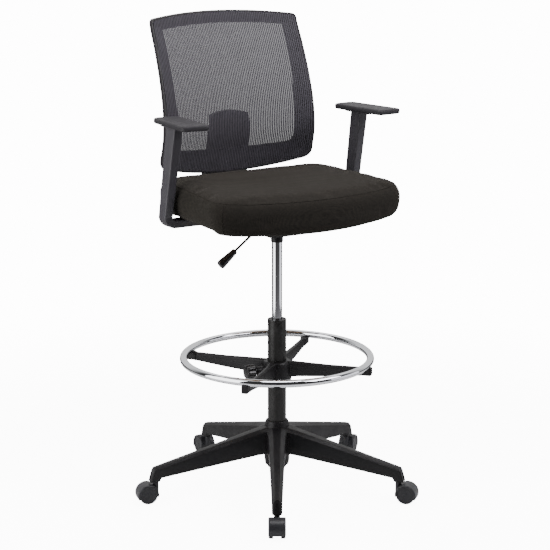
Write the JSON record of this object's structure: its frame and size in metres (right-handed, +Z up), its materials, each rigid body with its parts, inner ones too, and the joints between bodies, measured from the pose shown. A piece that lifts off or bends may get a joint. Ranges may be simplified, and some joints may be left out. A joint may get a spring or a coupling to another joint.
{
  "type": "drafting chair",
  "caption": "High drafting chair with mesh back, padded seat, fixed T armrests, gas lift, chrome foot ring and five-arm caster base.",
  "frame": {"origin": "on the floor, under the middle of the chair's overall length and width; the column axis stands at x 5.8 mm, y -25.6 mm", "axes": "+Z up; the sitter faces -Y; +X towards the sitter's left"},
  "size_m": [0.7525, 0.731, 1.267],
  "materials": {
    "base_nylon": "satin black moulded nylon",
    "caster_nylon": "satin black moulded nylon",
    "wheel_tread": "black moulded wheel, fine turned texture",
    "bare_steel": "turned and zinc plated",
    "chrome": "bright chrome plate",
    "black_steel": "black powder coat",
    "gland_plastic": "off-white acetal",
    "plywood": "unfinished birch plywood",
    "seat_fabric": "dark brown-black woven upholstery",
    "armrest_plastic": "dark grey textured polypropylene",
    "armrest_pad": "dark grey soft polyurethane",
    "back_plastic": "black moulded plastic, fine grain",
    "back_mesh": "dark grey open knit mesh"
  },
  "bodies": {
    "base": {"star_base": "base_nylon", "caster_1_stem": "bare_steel", "caster_2_stem": "bare_steel", "caster_3_stem": "bare_steel", "caster_4_stem": "bare_steel", "caster_5_stem": "bare_steel", "outer_tube": "black_steel", "guide_bush": "base_nylon", "thrust_bearing": "bare_steel"},
    "piston": {"piston_rod": "bare_steel", "retaining_clip": "bare_steel"},
    "seat": {"pressure_tube": "chrome", "rod_gland": "gland_plastic", "column_collar": "base_nylon", "mechanism_housing": "black_steel", "lever_pivot_pin": "bare_steel", "mechanism_bolt_1": "bare_steel", "mechanism_bolt_2": "bare_steel", "mechanism_bolt_3": "bare_steel", "mechanism_bolt_4": "bare_steel", "seat_board": "plywood", "seat_cushion": "seat_fabric", "armrest_frame_left": "armrest_plastic", "armrest_frame_right": "armrest_plastic", "armrest_pad_left": "armrest_pad", "armrest_pad_right": "armrest_pad", "armrest_bolt_left": "black_steel", "armrest_bolt_right": "black_steel", "back_bar": "black_steel", "back_bar_cover": "back_plastic", "back_frame": "back_plastic", "back_mesh": "back_mesh"},
    "lever": {"lever_rod": "black_steel", "lever_handle": "base_nylon"},
    "release": {"release_pin": "bare_steel"},
    "footrest": {"footring_hub": "base_nylon", "foot_ring": "chrome"},
    "clamp": {"clamp_stud": "bare_steel", "clamp_knob": "base_nylon"},
    "caster_1": {"caster_1_hood": "caster_nylon", "caster_1_axle": "bare_steel"},
    "wheel_1_left": {"caster_1_wheel_left": "wheel_tread"},
    "wheel_1_right": {"caster_1_wheel_right": "wheel_tread"},
    "caster_2": {"caster_2_hood": "caster_nylon", "caster_2_axle": "bare_steel"},
    "wheel_2_left": {"caster_2_wheel_left": "wheel_tread"},
    "wheel_2_right": {"caster_2_wheel_right": "wheel_tread"},
    "caster_3": {"caster_3_hood": "caster_nylon", "caster_3_axle": "bare_steel"},
    "wheel_3_left": {"caster_3_wheel_left": "wheel_tread"},
    "wheel_3_right": {"caster_3_wheel_right": "wheel_tread"},
    "caster_4": {"caster_4_hood": "caster_nylon", "caster_4_axle": "bare_steel"},
    "wheel_4_left": {"caster_4_wheel_left": "wheel_tread"},
    "wheel_4_right": {"caster_4_wheel_right": "wheel_tread"},
    "caster_5": {"caster_5_hood": "caster_nylon", "caster_5_axle": "bare_steel"},
    "wheel_5_left": {"caster_5_wheel_left": "wheel_tread"},
    "wheel_5_right": {"caster_5_wheel_right": "wheel_tread"}
  },
  "joints": [
    {"name": "seat_swivel", "type": "hinge", "parent": "base", "child": "piston", "pos_m": [0.0058, -0.0256, 0.07], "axis": [0, 0, 1], "continuous": true},
    {"name": "gas_lift", "type": "slide", "parent": "piston", "child": "seat", "axis": [0, 0, 1], "range_m": [-0.19, 0.015]},
    {"name": "lever_pivot", "type": "hinge", "parent": "seat", "child": "lever", "pos_m": [-0.0252, -0.0256, 0.742], "axis": [0, 1, 0], "range_deg": [0, 7.6], "stiffness_Nm_per_rad": 1.5, "springref_deg": -8.59},
    {"name": "release_travel", "type": "slide", "parent": "seat", "child": "release", "axis": [0, 0, -1], "range_m": [0, 0.005]},
    {"name": "footring_slide", "type": "slide", "parent": "base", "child": "footrest", "axis": [0, 0, 1], "range_m": [-0.1, 0.06]},
    {"name": "clamp_turn", "type": "hinge", "parent": "footrest", "child": "clamp", "pos_m": [-0.07348, -0.01488, 0.336], "axis": [-0.991, 0.134, 0], "range_deg": [0, 540]},
    {"name": "caster_1_swivel", "type": "hinge", "parent": "base", "child": "caster_1", "pos_m": [-0.1768, -0.31003, 0.05], "axis": [0, 0, 1], "continuous": true},
    {"name": "wheel_1_left_spin", "type": "hinge", "parent": "caster_1", "child": "wheel_1_left", "pos_m": [-0.1895, -0.32981, 0.025], "axis": [0.8415, -0.5402, 0], "continuous": true},
    {"name": "wheel_1_right_spin", "type": "hinge", "parent": "caster_1", "child": "wheel_1_right", "pos_m": [-0.1895, -0.32981, 0.025], "axis": [0.8415, -0.5402, 0], "continuous": true},
    {"name": "caster_2_swivel", "type": "hinge", "parent": "base", "child": "caster_2", "pos_m": [0.21988, -0.28716, 0.05], "axis": [0, 0, 1], "continuous": true},
    {"name": "wheel_2_left_spin", "type": "hinge", "parent": "caster_2", "child": "wheel_2_left", "pos_m": [0.23477, -0.30534, 0.025], "axis": [0.7738, 0.6334, 0], "continuous": true},
    {"name": "wheel_2_right_spin", "type": "hinge", "parent": "caster_2", "child": "wheel_2_right", "pos_m": [0.23477, -0.30534, 0.025], "axis": [0.7738, 0.6334, 0], "continuous": true},
    {"name": "caster_3_swivel", "type": "hinge", "parent": "base", "child": "caster_3", "pos_m": [0.32071, 0.09718, 0.05], "axis": [0, 0, 1], "continuous": true},
    {"name": "wheel_3_left_spin", "type": "hinge", "parent": "caster_3", "child": "wheel_3_left", "pos_m": [0.33915, 0.11174, 0.025], "axis": [-0.6198, 0.7848, 0], "continuous": true},
    {"name": "wheel_3_right_spin", "type": "hinge", "parent": "caster_3", "child": "wheel_3_right", "pos_m": [0.33915, 0.11174, 0.025], "axis": [-0.6198, 0.7848, 0], "continuous": true},
    {"name": "caster_4_swivel", "type": "hinge", "parent": "base", "child": "caster_4", "pos_m": [-0.01366, 0.31184, 0.05], "axis": [0, 0, 1], "continuous": true},
    {"name": "wheel_4_left_spin", "type": "hinge", "parent": "caster_4", "child": "wheel_4_left", "pos_m": [-0.01222, 0.3353, 0.025], "axis": [-0.9981, 0.061, 0], "continuous": true},
    {"name": "wheel_4_right_spin", "type": "hinge", "parent": "caster_4", "child": "wheel_4_right", "pos_m": [-0.01222, 0.3353, 0.025], "axis": [-0.9981, 0.061, 0], "continuous": true},
    {"name": "caster_5_swivel", "type": "hinge", "parent": "base", "child": "caster_5", "pos_m": [-0.32114, 0.06017, 0.05], "axis": [0, 0, 1], "continuous": true},
    {"name": "wheel_5_left_spin", "type": "hinge", "parent": "caster_5", "child": "wheel_5_left", "pos_m": [-0.34387, 0.06613, 0.025], "axis": [-0.2538, -0.9673, 0], "continuous": true},
    {"name": "wheel_5_right_spin", "type": "hinge", "parent": "caster_5", "child": "wheel_5_right", "pos_m": [-0.34387, 0.06613, 0.025], "axis": [-0.2538, -0.9673, 0], "continuous": true}
  ],
  "couplings": [
    {"joint": "release_travel", "follows": "lever_pivot", "m_per_rad": 0.0347}
  ]
}
